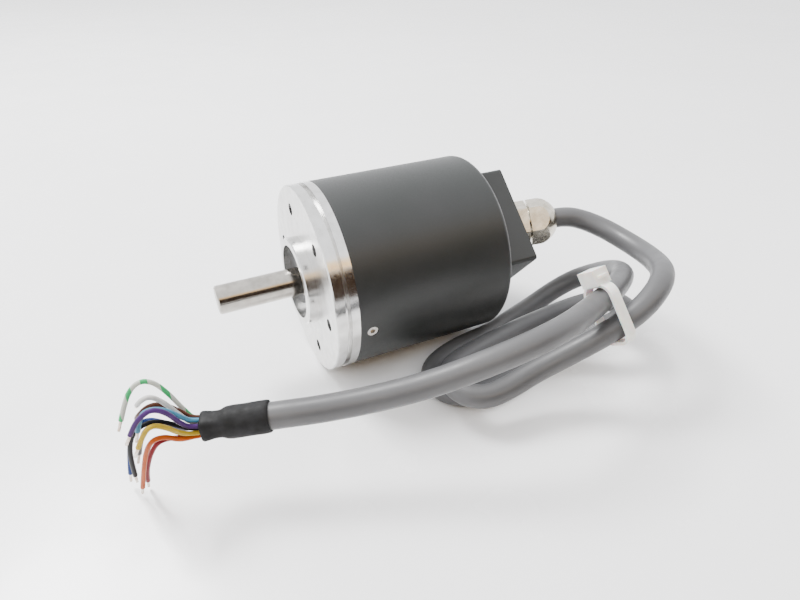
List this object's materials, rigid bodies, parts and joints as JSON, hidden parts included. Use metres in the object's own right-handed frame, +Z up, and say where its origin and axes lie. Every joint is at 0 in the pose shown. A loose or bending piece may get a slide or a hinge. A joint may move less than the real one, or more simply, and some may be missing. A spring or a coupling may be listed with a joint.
{
  "type": "rotary encoder",
  "caption": "Flanged rotary encoder with a front shaft, a round housing with a square rear block, a slanted cable gland and a coiled cable ending in coloured wires.",
  "frame": {"origin": "shaft axis where it crosses the flat front face of the flange", "axes": "+X along the shaft axis to the rear (the shaft end points along -X), +Z up, -Y towards the side where the coiled cable lies"},
  "size_m": [0.1835, 0.1041, 0.0636],
  "materials": {
    "aluminium_turned": "bright turned",
    "housing_coat": "matte powder coat",
    "stainless_shaft": "ground satin",
    "bearing_steel": "polished",
    "cage_brass": "satin",
    "shield_steel": "satin",
    "spring_steel": "oiled",
    "seal_rubber": "matte",
    "aluminium_plain": "satin",
    "screw_steel": "satin",
    "disc_glass": "clear",
    "black_plastic": "matte",
    "led_lens": "clear tinted",
    "board_green": "solder mask",
    "connector_white": "matte",
    "cable_jacket": "satin",
    "gland_nickel": "satin nickel",
    "gland_nylon": "matte",
    "shrink_black": "satin",
    "nylon_natural": "satin",
    "tinned_copper": "bright",
    "insulation_black": "satin",
    "insulation_blue": "satin",
    "insulation_brown": "satin",
    "insulation_grey": "satin",
    "insulation_light_blue": "satin",
    "insulation_orange": "satin",
    "insulation_red": "satin",
    "insulation_violet": "satin",
    "insulation_white": "satin",
    "insulation_white_green": "satin",
    "insulation_yellow": "satin"
  },
  "bodies": {
    "encoder_body": {"bearing_spacer": "shield_steel", "board_connector": "connector_white", "board_screws": "screw_steel", "board_standoffs": "screw_steel", "bore_circlip": "spring_steel", "cable": "cable_jacket", "cable_entry": "cable_jacket", "cable_tie": "nylon_natural", "circuit_board": "board_green", "connector_plug": "connector_white", "detector_block": "black_plastic", "emitter_holder": "black_plastic", "flange": "aluminium_turned", "front_outer_ring": "bearing_steel", "front_shields": "shield_steel", "gland_body": "gland_nickel", "gland_claw": "gland_nylon", "gland_insert": "seal_rubber", "gland_nut": "gland_nickel", "gland_washer": "seal_rubber", "housing_cap": "housing_coat", "housing_o_ring": "seal_rubber", "housing_screws": "screw_steel", "inner_leads": "cable_jacket", "led": "led_lens", "preload_washer": "spring_steel", "rear_outer_ring": "bearing_steel", "rear_shields": "shield_steel", "reticle": "disc_glass", "seal_case": "shield_steel", "seal_spring": "spring_steel", "shaft_seal": "seal_rubber", "shrink_sleeve": "shrink_black", "wire_black": "insulation_black", "wire_blue": "insulation_blue", "wire_brown": "insulation_brown", "wire_grey": "insulation_grey", "wire_light_blue": "insulation_light_blue", "wire_orange": "insulation_orange", "wire_red": "insulation_red", "wire_tips": "tinned_copper", "wire_violet": "insulation_violet", "wire_white": "insulation_white", "wire_white_green": "insulation_white_green", "wire_yellow": "insulation_yellow"},
    "rotor": {"shaft": "stainless_shaft", "shaft_circlip": "spring_steel", "front_inner_ring": "bearing_steel", "rear_inner_ring": "bearing_steel", "disc_hub": "aluminium_plain", "code_disc": "disc_glass", "disc_ring": "aluminium_plain", "disc_screws": "screw_steel", "hub_set_screw": "screw_steel"},
    "front_ball_set": {"front_balls": "bearing_steel", "front_cage": "cage_brass"},
    "rear_ball_set": {"rear_balls": "bearing_steel", "rear_cage": "cage_brass"}
  },
  "joints": [
    {"name": "shaft_spin", "type": "hinge", "parent": "encoder_body", "child": "rotor", "pos_m": [0, 0, 0], "axis": [1, 0, 0], "continuous": true},
    {"name": "front_ball_orbit", "type": "hinge", "parent": "encoder_body", "child": "front_ball_set", "pos_m": [0.0095, 0, 0], "axis": [1, 0, 0], "continuous": true},
    {"name": "rear_ball_orbit", "type": "hinge", "parent": "encoder_body", "child": "rear_ball_set", "pos_m": [0.0255, 0, 0], "axis": [1, 0, 0], "continuous": true}
  ],
  "couplings": [
    {"joint": "front_ball_orbit", "follows": "shaft_spin", "ratio": 0.3678},
    {"joint": "rear_ball_orbit", "follows": "shaft_spin", "ratio": 0.3678}
  ]
}
